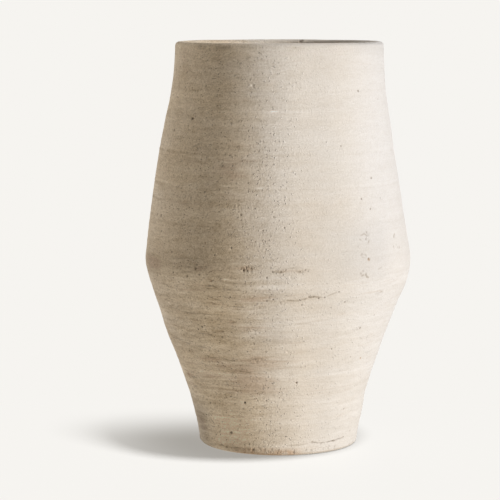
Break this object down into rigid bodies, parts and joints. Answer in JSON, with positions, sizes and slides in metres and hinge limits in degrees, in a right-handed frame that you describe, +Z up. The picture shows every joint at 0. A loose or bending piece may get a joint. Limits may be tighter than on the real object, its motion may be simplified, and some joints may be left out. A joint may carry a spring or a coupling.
{
  "type": "clay jar",
  "caption": "Tall open clay jar with a flared lower body, an angled shoulder below mid-height and a wide round-lipped mouth, for stems, branches or storage.",
  "frame": {"origin": "centre of the foot, on the surface that the jar stands on", "axes": "+Z up along the jar's turning axis, from the foot to the mouth; X and Y are level and free to choose on a turned form"},
  "size_m": [0.2652, 0.2652, 0.4],
  "materials": {
    "whitewashed_clay": "matt, pale wash brushed over coarse fired clay",
    "bare_clay": "matt, bare fired clay"
  },
  "bodies": {
    "root": {"floor_disc": "bare_clay", "lower_wall": "whitewashed_clay", "upper_wall": "whitewashed_clay"}
  },
  "joints": []
}
